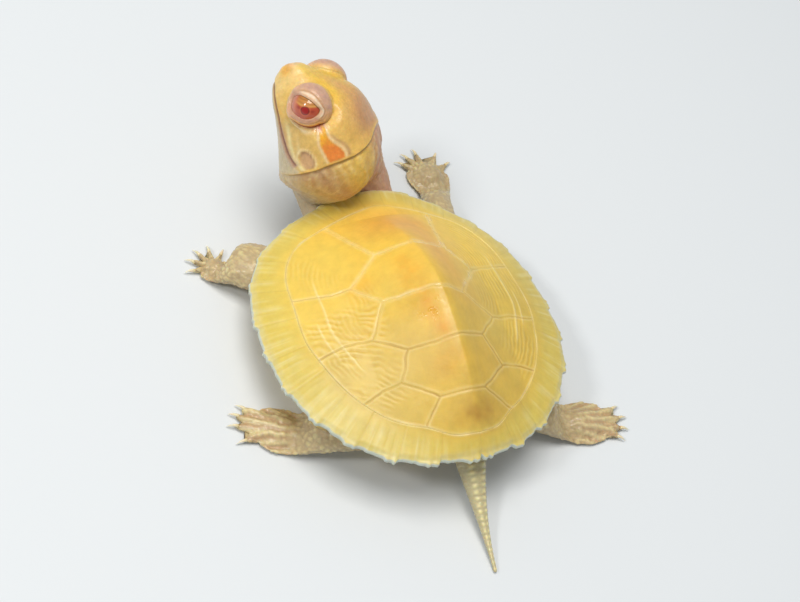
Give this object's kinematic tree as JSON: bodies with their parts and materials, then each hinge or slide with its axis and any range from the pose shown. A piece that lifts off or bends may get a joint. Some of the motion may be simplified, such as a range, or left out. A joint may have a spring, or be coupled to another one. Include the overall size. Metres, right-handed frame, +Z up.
{
  "type": "albino red-eared slider hatchling",
  "caption": "Life-size hatchling slider turtle, golden yellow with red eyes, standing with its head raised and turned, legs spread and tail trailing.",
  "frame": {"origin": "on the floor, under the middle of the whole animal's box", "axes": "-Y is where the body faces, +X is the animal's left, +Z is up"},
  "size_m": [0.042, 0.0495, 0.0201],
  "materials": {
    "carapace": "satin horn plates, lemon to golden yellow",
    "plastron": "satin horn plates, pale yellow",
    "skin": "moist granular skin, beige yellow",
    "head_skin": "smooth moist skin, yellow with pink showing through",
    "eye": "wet clear cornea over a red pupil and iris",
    "claw": "translucent pale horn"
  },
  "bodies": {
    "root": {"carapace": "carapace", "plastron": "plastron", "trunk": "skin", "neck": "skin", "head": "head_skin", "jaw": "head_skin", "eye_left": "eye", "eye_right": "eye", "foreleg_left": "skin", "forefoot_left": "skin", "claw_forefoot_left_1": "claw", "claw_forefoot_left_2": "claw", "claw_forefoot_left_3": "claw", "claw_forefoot_left_4": "claw", "claw_forefoot_left_5": "claw", "foreleg_right": "skin", "forefoot_right": "skin", "claw_forefoot_right_1": "claw", "claw_forefoot_right_2": "claw", "claw_forefoot_right_3": "claw", "claw_forefoot_right_4": "claw", "claw_forefoot_right_5": "claw", "hindleg_left": "skin", "hindfoot_left": "skin", "claw_hindfoot_left_1": "claw", "claw_hindfoot_left_2": "claw", "claw_hindfoot_left_3": "claw", "claw_hindfoot_left_4": "claw", "hindleg_right": "skin", "hindfoot_right": "skin", "claw_hindfoot_right_1": "claw", "claw_hindfoot_right_2": "claw", "claw_hindfoot_right_3": "claw", "claw_hindfoot_right_4": "claw", "tail": "skin"}
  },
  "joints": []
}
